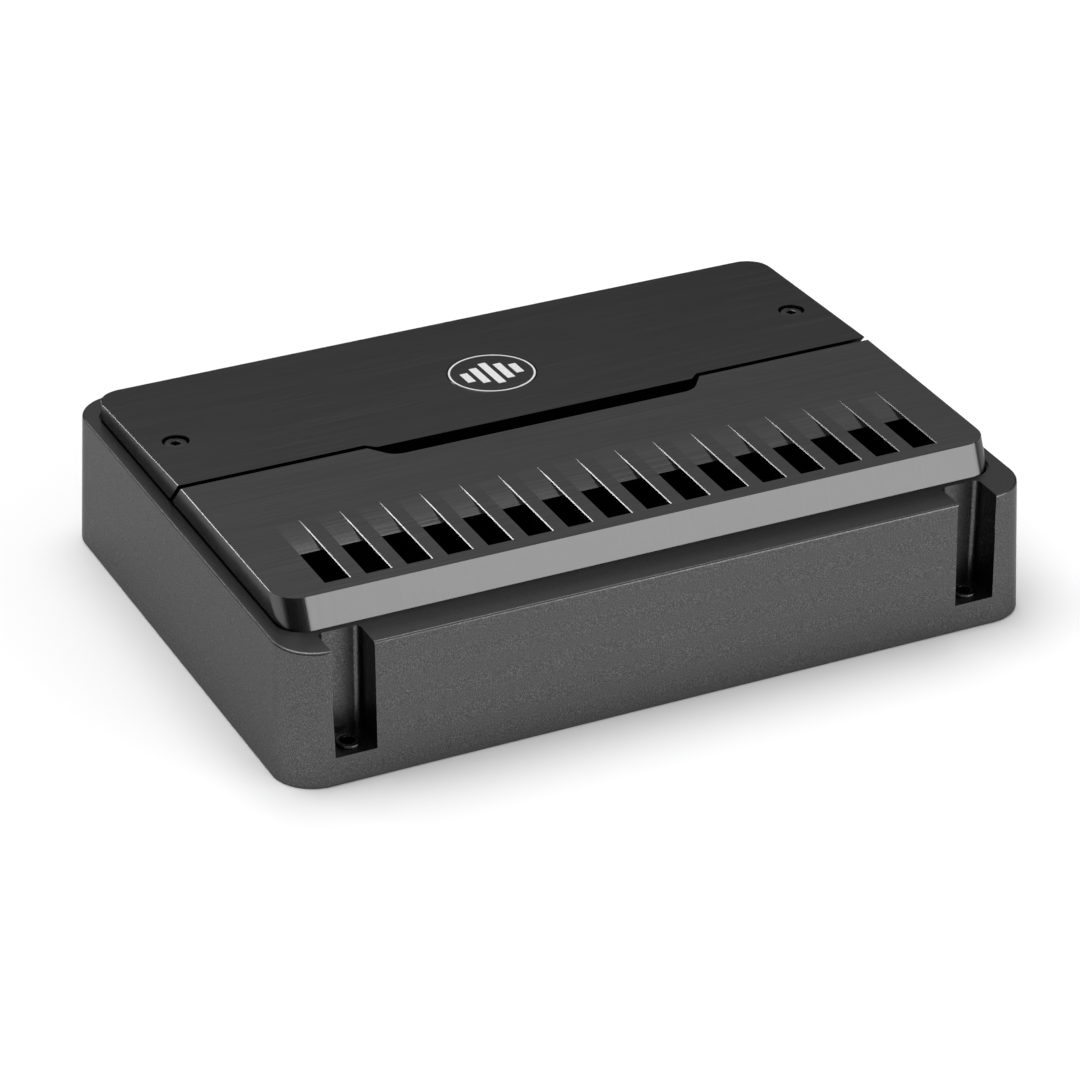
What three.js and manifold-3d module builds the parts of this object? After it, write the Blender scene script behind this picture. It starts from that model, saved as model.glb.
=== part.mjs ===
// A compact car amplifier: a die-cast chassis with mounting channels, a slotted vent cover, a lift-off
// access cover over the controls, and the connection panel, boards and power parts inside.
// Millimetres, +Z up. The origin is the centre of the base. -Y is the vent side, +Y the connection side.

import * as THREE from 'three';
import { mergeVertices } from 'three/addons/utils/BufferGeometryUtils.js';
import Module from 'manifold-3d';

const wasm = await Module();
wasm.setup();

// ---------------------------------------------------------------- driving dimensions

const GAP = 0.1; // between two faces that rest on each other
const CLEAR = 0.3; // between two pieces that pass by each other
const ROUND = 16; // sides of a small round piece

const CHASSIS = {
  halfX: 124.3,
  halfY: 90,
  rimZ: 44.2,
  corner: 13.6,
  draftX: 1.8, // how far each end leans in at the rim
  draftY: 1.4, // how far the front and rear faces lean in at the rim
};

const DECK = { seatZ: 43.4, bottomZ: 41 }; // the cast top under the covers
const AIR_WINDOW = { x0: -106, x1: 106, y0: -67, y1: -24 }; // in the deck, under the slots

const CAVITY = { centreX: 91, frontY: -85, rearY: 81.6, sideX: 118.4, sideY: 73 };

const CHANNEL = { innerX: 96.3, outerX: 109.5, floorZ: 9.4, corner: 2, holeR: 2.9 };
const FRONT_CHANNEL = { backY: 77.4, holeY: 83.4 };
const REAR_CHANNEL = { backY: 81.6, holeY: 85.6 }; // shallower, because the rear cover reaches further out

const COVERS = {
  sideX: 117.8,
  baseZ: DECK.seatZ + GAP,
  topZ: 52.9,
  corner: 8.5,
  skin: 2.5,
  seatGap: 0.5, // groove between the covers' foot and the casting
  splitSlope: 0.93, // how far the split between the covers runs back for each mm down
};

const VENT = {
  frontBaseY: -75.1,
  frontTopY: -70.75,
  backY: 5.5,
  hollow: { halfX: 114, frontY: -68.5, backY: -7 },
};

const SLOT = {
  count: 16,
  pitch: 13,
  width: 8,
  frontY: -65.4,
  lipY: -44.2,
  rampY: -27.5,
  lipDepth: 1.65,
  edgeBreak: 0.25, // chamfer along the +X edge
};

const ACCESS = {
  frontY: 7.7,
  rearTopY: 79.9,
  rearBaseY: 80.8,
  rearTopZ: 50,
  hollow: { halfX: 114, frontY: 10.5, rearY: 76.5 },
};

const FINGER = { lipHalfX: 54, lipY: 4.85, floorHalfX: 50.5, floorY: -2.1, mouthHalfX: 57 };

const COVER_SCREW = {
  x: 107, y: 37, boreR: 4.3, boreDepth: 3, headR: 3.6, headH: 2.2, shankR: 1.8, length: 17,
};

const EMBLEM = { y: 37.5, radius: 14.2, thickness: 0.6 };

const PANEL = { y: 79, thickness: 2, halfX: 90.6, bottomZ: 2.6, topZ: 40.6 };

const BOARD = { z: 8.2, thickness: 1.6, halfX: 106, frontY: -70, rearY: 57 };
const BOARD_TOP = BOARD.z + BOARD.thickness + GAP;

const CONTROLS = {
  boardZ: 33,
  panel: { x0: -99, x1: 43, y0: 20.2, y1: 57, thickness: 1.5 },
  window: { x0: -96, x1: 40, y0: 22, y1: 54 }, // in the deck
  partTopZ: 40.6,
};
const KNOB = { xs: [-75, -45, -15, 15], y: 27, stemR: 2.9, capR: 4.6, depth: 8.5 };
const SWITCH = { xs: [-65, -30, 5], y: 44, tipHalfX: 1.9, tipHalfY: 1.5, travel: 2 };

const TERMINAL = { innerY: 60, outerY: 86, baseZ: 8, wireEndY: 63, screwY: 68, screwGap: 0.5 };
const POWER = { x: 62, halfX: 17, topZ: 32.7, wireXs: [54, 70], wireZ: 17, wireSize: 9.4, screwR: 4 };
const SPEAKER = {
  x: 8, halfX: 22, topZ: 30.7, wireXs: [-7, 3, 13, 23], wireZ: 18, wireSize: 5.6, screwR: 2.4,
};
const TERMINAL_WINDOW = { x0: -16, x1: 82, y0: 62, y1: 74 }; // in the deck, over the clamp screws

const RCA = { xs: [-78, -65, -52, -39], z: 18, bodyR: 3.4, flangeR: 5.6, barrelR: 4.15 };
const JACK = {
  x: -27, z: 17, halfX: 4.6, halfZ: 4.6, mouthHalfX: 3.2, mouthZ0: 14, mouthZ1: 19.6, innerY: 68,
};
const LIGHT = { x: -27, z: 29, lensR: 1.5 };

const HEATSINK = {
  halfX: 100, frontY: -68, rearY: -24, baseZ: 28, floorZ: 31.5, finZ: 40.6, pitch: 8, fin: 2.4,
};
const MODULE = { xs: [-46, 0, 46], halfX: 20, y0: -60, y1: -36, bottomZ: 19, topZ: 27.2 };
const CAPACITOR = { xs: [-22, 0, 22, 44], y: 8, radius: 8, height: 20 };

// ---------------------------------------------------------------- solids

/** The closed geometry as a solid that can be cut and joined. */
function solid(geometry) {
  const bare = geometry.clone();
  bare.deleteAttribute('normal');
  bare.deleteAttribute('uv');
  const merged = mergeVertices(bare);
  return new wasm.Manifold(new wasm.Mesh({
    numProp: 3,
    vertProperties: new Float32Array(merged.attributes.position.array),
    triVerts: new Uint32Array(merged.index.array),
  }));
}

/** The surface of a solid as a three.js geometry. */
function surface(body) {
  const mesh = body.getMesh();
  const geometry = new THREE.BufferGeometry();
  geometry.setAttribute('position', new THREE.BufferAttribute(mesh.vertProperties, 3));
  geometry.setIndex(new THREE.BufferAttribute(mesh.triVerts, 1));
  geometry.computeVertexNormals();
  return geometry;
}

function cut(geometry, tools) {
  return surface(tools.reduce((body, tool) => body.subtract(solid(tool)), solid(geometry)));
}

function join(geometries) {
  return surface(geometries.slice(1).reduce((body, next) => body.add(solid(next)), solid(geometries[0])));
}

function box(x0, x1, y0, y1, z0, z1) {
  const geometry = new THREE.BoxGeometry(x1 - x0, y1 - y0, z1 - z0);
  return geometry.translate((x0 + x1) / 2, (y0 + y1) / 2, (z0 + z1) / 2);
}

/** A plan outline raised from z0 to z1. */
function prism(outline, z0, z1, curveSegments = 6) {
  const settings = { depth: z1 - z0, bevelEnabled: false, curveSegments };
  const geometry = new THREE.ExtrudeGeometry(outline, settings);
  return geometry.translate(0, 0, z0);
}

/** An upright cylinder from z0 to z1. */
function post(radius, x, y, z0, z1, sides = ROUND) {
  const geometry = new THREE.CylinderGeometry(radius, radius, z1 - z0, sides);
  return geometry.rotateX(Math.PI / 2).translate(x, y, (z0 + z1) / 2);
}

/** A cylinder along Y from y0 to y1. */
function rod(radius, x, z, y0, y1, sides = ROUND) {
  return new THREE.CylinderGeometry(radius, radius, y1 - y0, sides).translate(x, (y0 + y1) / 2, z);
}

/** A turned piece about the vertical: profile points are [radius, height]. */
function turned(profile, x, y, z, sides = ROUND) {
  const points = profile.map(([radius, height]) => new THREE.Vector2(radius, height));
  return new THREE.LatheGeometry(points, sides).rotateX(Math.PI / 2).translate(x, y, z);
}

/** A rectangle with rounded corners, in plan. */
function roundedRectangle(x0, x1, y0, y1, radius) {
  const outline = new THREE.Shape();
  outline.moveTo(x0 + radius, y0);
  outline.lineTo(x1 - radius, y0);
  outline.absarc(x1 - radius, y0 + radius, radius, -Math.PI / 2, 0, false);
  outline.lineTo(x1, y1 - radius);
  outline.absarc(x1 - radius, y1 - radius, radius, 0, Math.PI / 2, false);
  outline.lineTo(x0 + radius, y1);
  outline.absarc(x0 + radius, y1 - radius, radius, Math.PI / 2, Math.PI, false);
  outline.lineTo(x0, y0 + radius);
  outline.absarc(x0 + radius, y0 + radius, radius, Math.PI, 1.5 * Math.PI, false);
  return outline;
}

/** Moves each point of a geometry: place takes x, y, z and gives the new ones. */
function reshape(geometry, place) {
  const position = geometry.attributes.position;
  for (let i = 0; i < position.count; i += 1) {
    position.setXYZ(i, ...place(position.getX(i), position.getY(i), position.getZ(i)));
  }
  return geometry;
}

// ---------------------------------------------------------------- scene graph

const amplifier = new THREE.Group();

const FINISHES = {
  castPaint: { color: 0x4a4a4c, roughness: 0.55, metalness: 0.4 },
  blackAnodised: { color: 0x2a2a2b, roughness: 0.4, metalness: 0.8 },
  blackSteel: { color: 0x1c1c1d, roughness: 0.45, metalness: 0.7 },
  zincSteel: { color: 0x9a9a9a, roughness: 0.4, metalness: 0.9 },
  blackPlastic: { color: 0x1a1a1a, roughness: 0.6, metalness: 0 },
  greyPlastic: { color: 0x8c8c8c, roughness: 0.6, metalness: 0 },
  whitePlastic: { color: 0xd8d8d4, roughness: 0.5, metalness: 0 },
  nickel: { color: 0xc8c4b8, roughness: 0.25, metalness: 1 },
  board: { color: 0x1c3a2a, roughness: 0.5, metalness: 0 },
  copper: { color: 0x9a5a30, roughness: 0.4, metalness: 0.9 },
  capSleeve: { color: 0x20242c, roughness: 0.45, metalness: 0 },
  pad: { color: 0x9a9c9a, roughness: 0.8, metalness: 0 },
  lens: { color: 0x9ad0a0, roughness: 0.2, metalness: 0 },
};

function add(name, geometry, finish) {
  const mesh = new THREE.Mesh(geometry, new THREE.MeshStandardMaterial(FINISHES[finish]));
  mesh.name = name;
  amplifier.add(mesh);
}

// ---------------------------------------------------------------- chassis

/** The outside of the casting: a rounded block whose faces lean in towards the rim. */
function chassisBlock() {
  const { halfX, halfY, rimZ, corner, draftX, draftY } = CHASSIS;
  const block = prism(roundedRectangle(-halfX, halfX, -halfY, halfY, corner), 0, rimZ, 10);
  return reshape(block, (x, y, z) => {
    const lean = z / rimZ;
    return [x * (1 - (draftX / halfX) * lean), y * (1 - (draftY / halfY) * lean), z];
  });
}

/** The sizes of the channels in the front face, or in the rear one. */
function channelAt(end) {
  return end < 0 ? FRONT_CHANNEL : REAR_CHANNEL;
}

/** A mounting channel at one corner: open to the end face and to the rim. */
function channelCut({ side, end }) {
  const xs = [side * CHANNEL.innerX, side * CHANNEL.outerX].sort((a, b) => a - b);
  const ys = [end * channelAt(end).backY, end * (CHASSIS.halfY + 10)].sort((a, b) => a - b);
  const outline = roundedRectangle(xs[0], xs[1], ys[0], ys[1], CHANNEL.corner);
  return prism(outline, CHANNEL.floorZ, CHASSIS.rimZ + 5, 4);
}

const channelX = (CHANNEL.innerX + CHANNEL.outerX) / 2;
const corners = [-1, 1].flatMap((side) => [-1, 1].map((end) => ({ side, end })));

function mountingHole({ side, end }) {
  return post(CHANNEL.holeR + CLEAR, side * channelX, end * channelAt(end).holeY, -1, CHANNEL.floorZ + 1);
}

/** The two overlapping blocks of space inside the casting, between z0 and z1. */
function cavity(z0, z1, inset = 0) {
  const { centreX, frontY, rearY, sideX, sideY } = CAVITY;
  return [
    box(-centreX + inset, centreX - inset, frontY + inset, rearY - inset, z0, z1),
    box(-sideX + inset, sideX - inset, -sideY + inset, sideY - inset, z0, z1),
  ];
}

/** Two upright cylinders where the cover screws go. */
function coverScrewPosts(radius, z0, z1, sides = ROUND) {
  return [-1, 1].map((side) => post(radius, side * COVER_SCREW.x, COVER_SCREW.y, z0, z1, sides));
}

const baseScrews = [[-113, -67.5], [113, -67.5], [-113, 67.5], [113, 67.5]];
const baseScrewR = 1.6;

function deckWindow({ x0, x1, y0, y1 }) {
  return box(x0, x1, y0, y1, DECK.bottomZ - 1, DECK.seatZ + 1);
}

function chassis() {
  const recessX = 86;
  const bosses = [
    ...baseScrews.map(([x, y]) => post(4.2, x, y, 2.2, DECK.bottomZ + 1)),
    ...coverScrewPosts(5, 28, DECK.bottomZ + 1),
  ];
  const shell = join([cut(chassisBlock(), cavity(-1, DECK.bottomZ)), ...bosses]);
  const { sideX, seatGap } = COVERS;
  const seatX = sideX + seatGap;
  const seat = roundedRectangle(
    -seatX, seatX, VENT.frontBaseY - seatGap, ACCESS.rearBaseY + seatGap, COVERS.corner + seatGap,
  );
  return cut(shell, [
    prism(seat, DECK.seatZ, CHASSIS.rimZ + 1),
    ...corners.map(channelCut),
    ...corners.map(mountingHole),
    ...[AIR_WINDOW, CONTROLS.window, TERMINAL_WINDOW].map(deckWindow),
    box(-recessX, recessX, CAVITY.rearY - 1, CHASSIS.halfY + 1, 5, 38), // for the connections
    ...baseScrews.map(([x, y]) => post(baseScrewR + CLEAR, x, y, 0, 14, 12)),
    ...coverScrewPosts(COVER_SCREW.shankR + CLEAR, 30.5, 50),
  ]);
}

// ---------------------------------------------------------------- vent cover

/** Where a point of the split between the covers lies at a height, from its place at the top. */
function splitY(y, z) {
  return y + COVERS.splitSlope * (COVERS.topZ - z);
}

/** Plan of the vent cover: round front corners, and the finger recess in its back edge. */
function ventOutline() {
  const { sideX, corner } = COVERS;
  const { frontBaseY, backY } = VENT;
  const { floorHalfX, floorY, mouthHalfX } = FINGER;
  const bend = 3;
  const outline = new THREE.Shape();
  outline.moveTo(-sideX, backY);
  outline.lineTo(-sideX, frontBaseY + corner);
  outline.absarc(-sideX + corner, frontBaseY + corner, corner, Math.PI, 1.5 * Math.PI, false);
  outline.lineTo(sideX - corner, frontBaseY);
  outline.absarc(sideX - corner, frontBaseY + corner, corner, 1.5 * Math.PI, 2 * Math.PI, false);
  outline.lineTo(sideX, backY);
  outline.lineTo(mouthHalfX, backY);
  outline.lineTo(floorHalfX + bend, floorY + bend);
  outline.quadraticCurveTo(floorHalfX + 1, floorY, floorHalfX - bend, floorY);
  outline.lineTo(-floorHalfX + bend, floorY);
  outline.quadraticCurveTo(-floorHalfX - 1, floorY, -floorHalfX - bend, floorY + bend);
  outline.lineTo(-mouthHalfX, backY);
  return outline;
}

/** Side view of one slot: a curved scoop that runs down to an opening through the skin. */
function slotOutline() {
  const { frontY, lipY, rampY, lipDepth } = SLOT;
  const above = COVERS.topZ + 2;
  const below = COVERS.topZ - COVERS.skin - 2;
  const run = rampY - lipY;
  const outline = new THREE.Shape();
  outline.moveTo(frontY, below);
  outline.lineTo(lipY, below);
  outline.lineTo(lipY, COVERS.topZ - lipDepth);
  outline.quadraticCurveTo(lipY + run / 2, COVERS.topZ, rampY, COVERS.topZ);
  outline.lineTo(rampY, above);
  outline.lineTo(frontY, above);
  return outline;
}

function slotCut(index) {
  const x = (index - (SLOT.count - 1) / 2) * SLOT.pitch;
  const geometry = new THREE.ExtrudeGeometry(slotOutline(), {
    depth: SLOT.width, bevelEnabled: false, curveSegments: 5,
  });
  // The outline's first axis becomes Y, its second Z, and the depth X.
  geometry.rotateX(Math.PI / 2).rotateZ(Math.PI / 2);
  return geometry.translate(x - SLOT.width / 2, 0, 0);
}

/** The wedge that breaks the +X edge of a slot: it starts from nothing at the ramp. */
function slotEdgeBreak(index) {
  const { edgeBreak, pitch, width, count, rampY, frontY } = SLOT;
  const x = (index - (count - 1) / 2) * pitch + width / 2;
  const z = COVERS.topZ;
  const past = 0.1;
  const section = new THREE.Shape();
  section.moveTo(x - past, z - edgeBreak - past);
  section.lineTo(x + edgeBreak + past, z + past);
  section.lineTo(x + edgeBreak + past, z + 1);
  section.lineTo(x - past, z + 1);
  const wedge = new THREE.ExtrudeGeometry(section, { depth: rampY - frontY, steps: 5, bevelEnabled: false });
  wedge.rotateX(Math.PI / 2).translate(0, rampY, 0);
  return reshape(wedge, (wx, wy, wz) => [wx, wy, wy > rampY - 1 ? wz + edgeBreak : wz]);
}

function ventCover() {
  const { baseZ, topZ, skin } = COVERS;
  const lean = VENT.frontTopY - VENT.frontBaseY;
  const block = reshape(prism(ventOutline(), baseZ, topZ, 8), (x, y, z) => {
    if (y > VENT.backY - 1) return [x, splitY(y, z), z];
    const atTop = (z - baseZ) / (topZ - baseZ);
    return [x, y < VENT.hollow.backY ? y + lean * atTop : y, z];
  });
  const { halfX, frontY, backY } = VENT.hollow;
  const hollow = box(-halfX, halfX, frontY, backY, baseZ - 1, topZ - skin);
  const indexes = Array.from({ length: SLOT.count }, (_, index) => index);
  return cut(block, [hollow, ...indexes.map(slotCut), ...indexes.map(slotEdgeBreak)]);
}

// ---------------------------------------------------------------- access cover

/** Height of the access cover's sloping top at a place along Y. */
function accessTop(y) {
  const slope = (COVERS.topZ - ACCESS.rearTopZ) / (ACCESS.rearTopY - ACCESS.frontY);
  return COVERS.topZ - (y - ACCESS.frontY) * slope;
}

const accessTilt = -Math.atan2(COVERS.topZ - ACCESS.rearTopZ, ACCESS.rearTopY - ACCESS.frontY);

/** Plan of the access cover: round rear corners, and the finger lip in its front edge. */
function accessOutline() {
  const { sideX, corner } = COVERS;
  const { frontY, rearBaseY } = ACCESS;
  const { lipHalfX, lipY, mouthHalfX } = FINGER;
  const outline = new THREE.Shape();
  outline.moveTo(-sideX, frontY);
  outline.lineTo(-mouthHalfX, frontY);
  outline.lineTo(-lipHalfX, lipY);
  outline.lineTo(lipHalfX, lipY);
  outline.lineTo(mouthHalfX, frontY);
  outline.lineTo(sideX, frontY);
  outline.lineTo(sideX, rearBaseY - corner);
  outline.absarc(sideX - corner, rearBaseY - corner, corner, 0, Math.PI / 2, false);
  outline.lineTo(-sideX + corner, rearBaseY);
  outline.absarc(-sideX + corner, rearBaseY - corner, corner, Math.PI / 2, Math.PI, false);
  return outline;
}

/** A round place on the sloping top, for the emblem: its top face lies in the cover's top. */
function emblemDisc(radius, thickness, lift) {
  const disc = new THREE.CylinderGeometry(radius, radius, thickness, 40).rotateX(Math.PI / 2);
  disc.translate(0, 0, lift - thickness / 2);
  return disc.rotateX(accessTilt).translate(0, EMBLEM.y, accessTop(EMBLEM.y));
}

function accessCover() {
  const { baseZ, topZ, skin } = COVERS;
  const isFront = (y) => y < 0.5 * ACCESS.rearBaseY;
  const block = reshape(prism(accessOutline(), baseZ, topZ, 8), (x, y, z) => {
    if (z > topZ - 1) {
      const topY = isFront(y) ? y : y + ACCESS.rearTopY - ACCESS.rearBaseY;
      return [x, topY, accessTop(topY)];
    }
    return [x, isFront(y) ? splitY(y, z) : y, z];
  });
  const { halfX, frontY, rearY } = ACCESS.hollow;
  const hollow = reshape(box(-halfX, halfX, frontY, rearY, baseZ - 1, topZ), (x, y, z) => {
    const height = z > baseZ ? accessTop(y) - skin : z;
    return [x, isFront(y) ? splitY(y, height) : y, height];
  });
  const bossR = 7.6;
  const bosses = coverScrewPosts(bossR, baseZ, topZ - skin);
  const screwSeatZ = accessTop(COVER_SCREW.y) - COVER_SCREW.boreDepth;
  return cut(join([cut(block, [hollow]), ...bosses]), [
    ...coverScrewPosts(COVER_SCREW.boreR, screwSeatZ, 60, 32),
    ...coverScrewPosts(COVER_SCREW.shankR + CLEAR, 40, 60),
    emblemDisc(EMBLEM.radius + 0.2, 5, 5 - EMBLEM.thickness - CLEAR),
  ]);
}

/** A screw with a round head on its shank and a six-sided socket; z is the underside of the head. */
function socketScrew({ x, y, z, headR, headH, shankR, length, sides = 24 }) {
  const soft = 0.4;
  const body = turned([
    [0, -length], [shankR, -length], [shankR, 0], [headR, 0], [headR, headH - soft], [headR - soft, headH],
    [0, headH],
  ], x, y, z, sides);
  const socket = post(headR * 0.42, x, y, z + headH * 0.35, z + headH + 1, 6);
  return cut(body, [socket]);
}

// ---------------------------------------------------------------- base and mounting

function bottomPlate() {
  const [middle, sides] = cavity(0.3, 1.9, CLEAR);
  const sink = [[0, -1], [3.9, -1], [3.9, 0], [2, 2.1], [0, 2.1]];
  const sinks = baseScrews.map(([x, y]) => turned(sink, x, y, 0.2));
  return cut(join([middle, sides]), sinks);
}

/** A countersunk screw, head down, in the bottom plate. */
function baseScrew(x, y) {
  const body = turned([[0, 0], [3.3, 0], [baseScrewR, 1.7], [baseScrewR, 12], [0, 12]], x, y, 0.3, 16);
  return cut(body, [post(1.2, x, y, -1, 1.2, 6)]);
}

/** A flanged eyelet that lines a mounting hole. */
function eyelet({ side, end }) {
  const { holeR, floorZ } = CHANNEL;
  const { holeY } = channelAt(end);
  const boreR = 2.2;
  const flangeR = holeR + 0.9;
  return turned([
    [boreR, 0.5], [holeR, 0.5], [holeR, floorZ + GAP], [flangeR, floorZ + GAP], [flangeR, floorZ + 0.7],
    [flangeR - 0.4, floorZ + 1], [boreR + 0.3, floorZ + 1], [boreR, floorZ + 0.7], [boreR, 0.5],
  ], side * channelX, end * holeY, 0, 20);
}

// ---------------------------------------------------------------- connections

function connectionPanel() {
  const { y, thickness, halfX, bottomZ, topZ } = PANEL;
  const plate = box(-halfX, halfX, y, y + thickness, bottomZ, topZ);
  const through = [y - 1, y + thickness + 1];
  const blockHole = ({ x, halfX: half, topZ: top }) => (
    box(x - half - CLEAR, x + half + CLEAR, ...through, TERMINAL.baseZ, top + CLEAR)
  );
  return cut(plate, [
    blockHole(POWER),
    blockHole(SPEAKER),
    ...RCA.xs.map((x) => rod(RCA.bodyR + 1.4, x, RCA.z, ...through)),
    box(JACK.x - 5, JACK.x + 5, ...through, JACK.z - 5, JACK.z + 5),
    rod(LIGHT.lensR + CLEAR, LIGHT.x, LIGHT.z, ...through),
  ]);
}

/** A terminal block: wire holes in its face, and a clamp screw shaft above each. */
function terminalBlock({ x, halfX, topZ, wireXs, wireZ, wireSize, screwR }) {
  const half = wireSize / 2;
  const { innerY, outerY, baseZ, wireEndY, screwY } = TERMINAL;
  return cut(box(x - halfX, x + halfX, innerY, outerY, baseZ + CLEAR, topZ), [
    ...wireXs.map((wx) => box(wx - half, wx + half, wireEndY, outerY + 1, wireZ - half, wireZ + half)),
    ...wireXs.map((wx) => post(screwR + CLEAR, wx, screwY, wireZ, topZ + 1)),
  ]);
}

/** A headless clamp screw standing above a wire hole. */
function clampScrew(x, { topZ, wireZ, wireSize, screwR }) {
  const { screwY, screwGap } = TERMINAL;
  const top = topZ - screwGap;
  const body = post(screwR, x, screwY, wireZ + wireSize / 2 + screwGap, top);
  return cut(body, [post(screwR * 0.5, x, screwY, top - 2.5, top + 1, 6)]);
}

function rcaHousing() {
  const margin = 7;
  const [innerY, socketEndY] = [66, 69];
  const body = box(RCA.xs[0] - margin, RCA.xs[3] + margin, innerY, PANEL.y - GAP, RCA.z - 8, RCA.z + 9);
  return cut(body, RCA.xs.map((x) => rod(RCA.bodyR + CLEAR, x, RCA.z, socketEndY, PANEL.y + 1)));
}

/** One phono socket: a shell with a flange against the panel and a deep centre hole. */
function rcaShell(x) {
  const { bodyR, barrelR, flangeR } = RCA;
  const front = PANEL.y + PANEL.thickness;
  const boreR = 1.7;
  const profile = [
    [0, -9], [bodyR, -9], [bodyR, -1.6], [4.1, -1.6], [4.1, GAP], [flangeR, GAP], [flangeR, 1.1],
    [barrelR, 1.1], [barrelR, 6.4], [barrelR - 0.4, 6.8], [boreR, 6.8], [boreR, -4], [0, -4],
  ];
  const points = profile.map(([radius, along]) => new THREE.Vector2(radius, along));
  return new THREE.LatheGeometry(points, ROUND).translate(x, front, RCA.z);
}

function remoteJack() {
  const { x, z, halfX, halfZ, mouthHalfX, mouthZ0, mouthZ1, innerY } = JACK;
  const body = box(x - halfX, x + halfX, innerY, PANEL.y + PANEL.thickness + 1, z - halfZ, z + halfZ);
  return cut(body, [box(x - mouthHalfX, x + mouthHalfX, innerY + 3, PANEL.y + 10, mouthZ0, mouthZ1)]);
}

function statusLight() {
  const { x, z, lensR } = LIGHT;
  const profile = [[0, -4], [lensR, -4], [lensR, 2.4], [lensR - 0.4, 3.1], [0, 3.4]];
  const points = profile.map(([radius, along]) => new THREE.Vector2(radius, along));
  return new THREE.LatheGeometry(points, ROUND).translate(x, PANEL.y + 1, z);
}

// ---------------------------------------------------------------- controls

const controlZ = DECK.seatZ + GAP;
const controlTop = controlZ + CONTROLS.panel.thickness;

function controlPanel() {
  const { x0, x1, y0, y1 } = CONTROLS.panel;
  const slotX = SWITCH.tipHalfX + SWITCH.travel + 0.5;
  const slotY = SWITCH.tipHalfY + 0.4;
  return cut(box(x0, x1, y0, y1, controlZ, controlTop), [
    ...KNOB.xs.map((x) => post(KNOB.stemR + 0.5, x, KNOB.y, controlZ - 1, controlTop + 1)),
    ...SWITCH.xs.map((x) => (
      box(x - slotX, x + slotX, SWITCH.y - slotY, SWITCH.y + slotY, controlZ - 1, controlTop + 1)
    )),
  ]);
}

function controlBoard() {
  const { boardZ, panel } = CONTROLS;
  return box(panel.x0 + 4, panel.x1 - 4, panel.y0 - 1, panel.y1 - 4, boardZ, boardZ + BOARD.thickness);
}

/** A slotted adjuster on its shaft. */
function knob(x) {
  const { y, stemR, capR, depth } = KNOB;
  const [underCap, rim, top] = [1.7, 3.3, 3.7];
  const body = turned([
    [0, -depth], [stemR, -depth], [stemR, underCap],
    [capR, underCap], [capR, rim], [capR - 0.4, top], [0, top],
  ], x, y, controlZ);
  const slit = box(x - 0.6, x + 0.6, y - 3.4, y + 3.4, controlZ + top - 1, controlZ + top + 1);
  return cut(body, [slit]);
}

function potentiometer(x) {
  const { y, stemR, depth } = KNOB;
  const half = 6;
  const { boardZ, partTopZ } = CONTROLS;
  const body = box(x - half, x + half, y - half, y + half, boardZ + BOARD.thickness + GAP, partTopZ);
  return cut(body, [post(stemR + CLEAR, x, y, controlZ - depth - CLEAR, partTopZ + 1)]);
}

function switchSlider(x) {
  const { y, tipHalfX, tipHalfY } = SWITCH;
  const foot = box(x - 3, x + 3, y - 2.6, y + 2.6, 39.2, 40.2);
  const tip = box(x - tipHalfX, x + tipHalfX, y - tipHalfY, y + tipHalfY, 39.8, controlTop + 1.6);
  return join([foot, tip]);
}

function switchBody(x) {
  const { y, travel } = SWITCH;
  const { boardZ, partTopZ } = CONTROLS;
  const roomX = 3 + travel + 0.4;
  const body = box(x - 7, x + 7, y - 4, y + 4, boardZ + BOARD.thickness + GAP, partTopZ);
  return cut(body, [box(x - roomX, x + roomX, y - 2.9, y + 2.9, 38.9, partTopZ + 1)]);
}

// ---------------------------------------------------------------- electronics

function mainBoard() {
  const { halfX, frontY, rearY, z, thickness } = BOARD;
  return box(-halfX, halfX, frontY, rearY, z, z + thickness);
}

/** A finned block under the air way, its fins running front to back. */
function heatsink() {
  const { halfX, frontY, rearY, baseZ, floorZ, finZ, pitch, fin } = HEATSINK;
  const outline = new THREE.Shape();
  outline.moveTo(-halfX, baseZ);
  outline.lineTo(halfX, baseZ);
  for (let x = halfX; x >= -halfX + fin; x -= pitch) {
    outline.lineTo(x, finZ);
    outline.lineTo(x - fin, finZ);
    outline.lineTo(x - fin, floorZ);
    outline.lineTo(Math.max(x - pitch, -halfX), floorZ);
  }
  const geometry = new THREE.ExtrudeGeometry(outline, { depth: rearY - frontY, bevelEnabled: false });
  return geometry.rotateX(Math.PI / 2).translate(0, rearY, 0);
}

function powerModule(x) {
  const { halfX, y0, y1, bottomZ, topZ } = MODULE;
  return box(x - halfX, x + halfX, y0, y1, bottomZ, topZ);
}

/** The pad between the power modules and the heatsink. */
function thermalPad() {
  const reach = MODULE.xs[2] + MODULE.halfX + 4;
  const { y0, y1, topZ } = MODULE;
  return box(-reach, reach, y0 - 2, y1 + 2, topZ + GAP, HEATSINK.baseZ - GAP);
}

/** The bar that holds the power modules up against the heatsink. */
function clampBar() {
  const reach = MODULE.xs[2] + MODULE.halfX + 6;
  const y = (MODULE.y0 + MODULE.y1) / 2;
  return box(-reach, reach, y - 3, y + 3, MODULE.bottomZ - 3, MODULE.bottomZ - 0.2);
}

/** A wound ring lying on the board. */
function toroid(x, y, ringR, tubeR) {
  const sides = 10;
  const profile = Array.from({ length: sides + 1 }, (_, i) => {
    const angle = (-i * 2 * Math.PI) / sides;
    return [ringR + tubeR * Math.cos(angle), tubeR * Math.sin(angle)];
  });
  profile[sides] = profile[0];
  return turned(profile.reverse(), x, y, BOARD_TOP + tubeR, 20);
}

function capacitor(x) {
  const { y, radius, height } = CAPACITOR;
  const bead = radius - 0.4;
  return turned([
    [0, 0], [bead, 0], [bead, 1.6], [radius, 2.2],
    [radius, height - 0.6], [radius - 0.6, height], [0, height],
  ], x, y, BOARD_TOP);
}

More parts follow.
